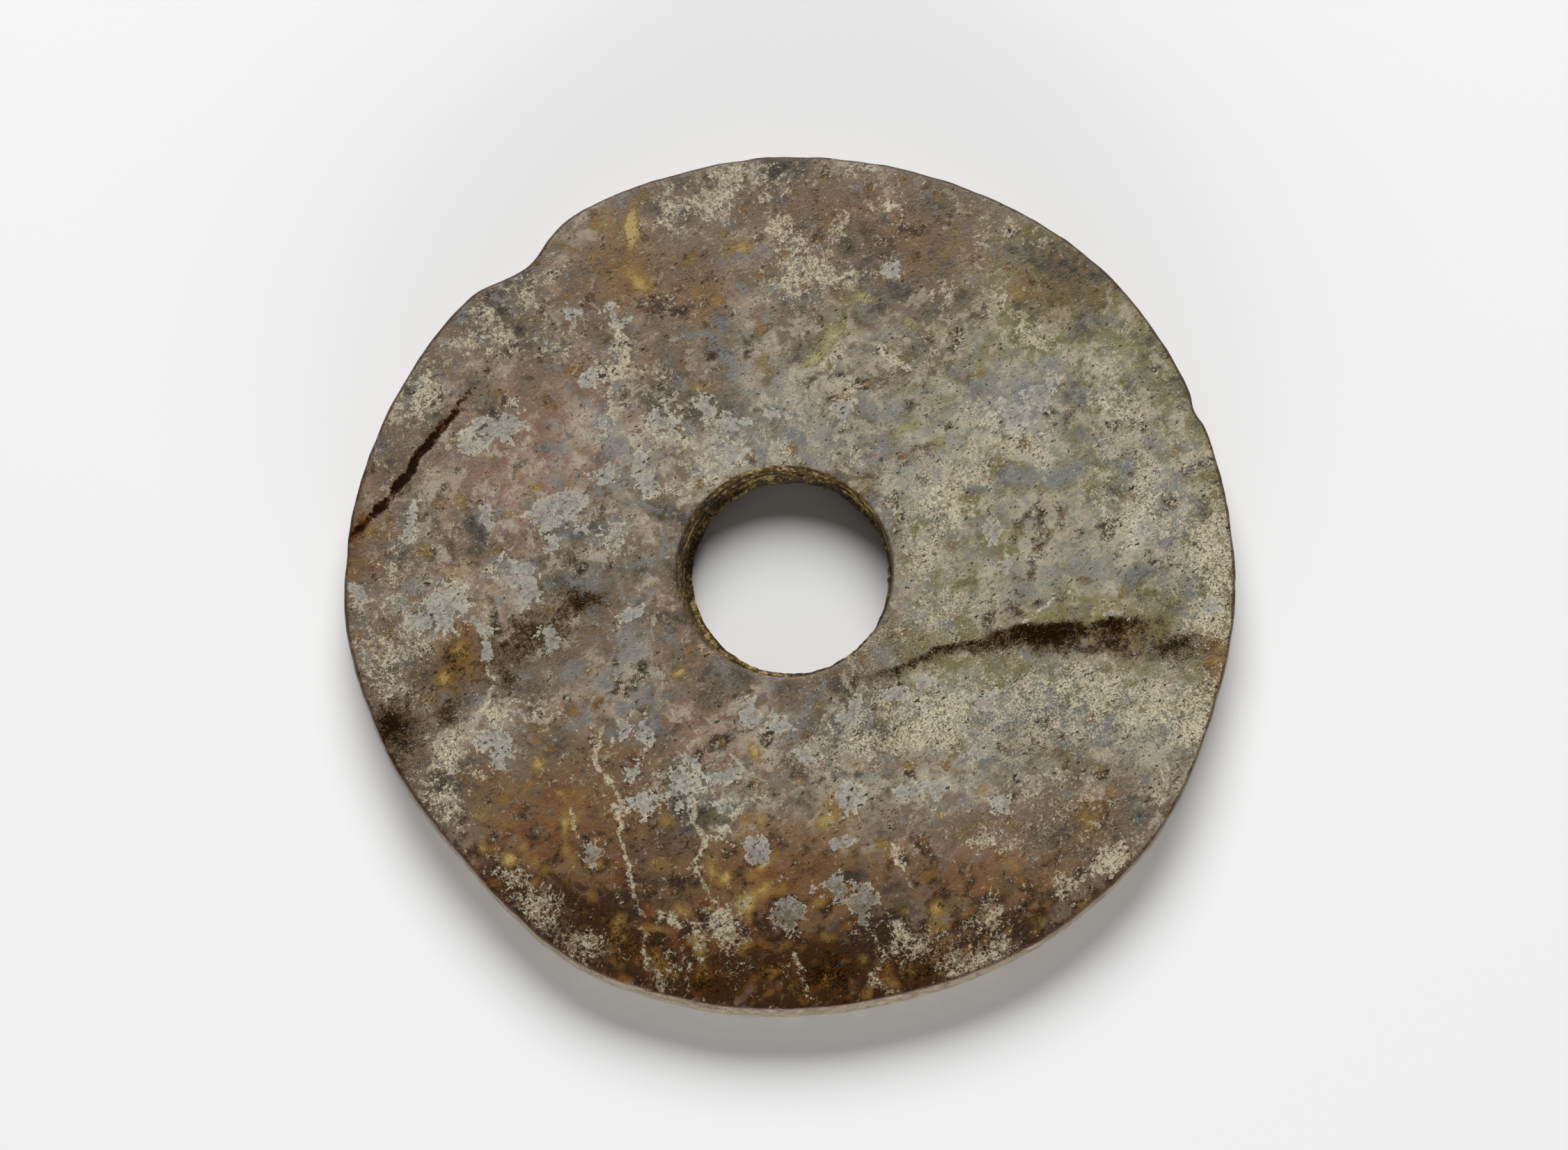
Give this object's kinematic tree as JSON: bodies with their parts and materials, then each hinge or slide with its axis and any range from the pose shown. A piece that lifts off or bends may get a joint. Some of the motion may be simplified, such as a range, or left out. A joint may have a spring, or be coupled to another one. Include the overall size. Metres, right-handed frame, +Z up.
{
  "type": "jade bi disc",
  "caption": "Flat jade ring with a central hole drilled from both faces, a rim that is only nearly round, a notch in it, and saw troughs across the upper face.",
  "frame": {"origin": "on the surface it lies on, under the middle of the outline's box", "axes": "+Z up through the disc's thickness, +X along its widest span, to the right in the picture, +Y away from the viewer"},
  "size_m": [0.2, 0.197, 0.012],
  "materials": {
    "nephrite": "satin"
  },
  "bodies": {
    "root": {"bi_disc": "nephrite"}
  },
  "joints": []
}
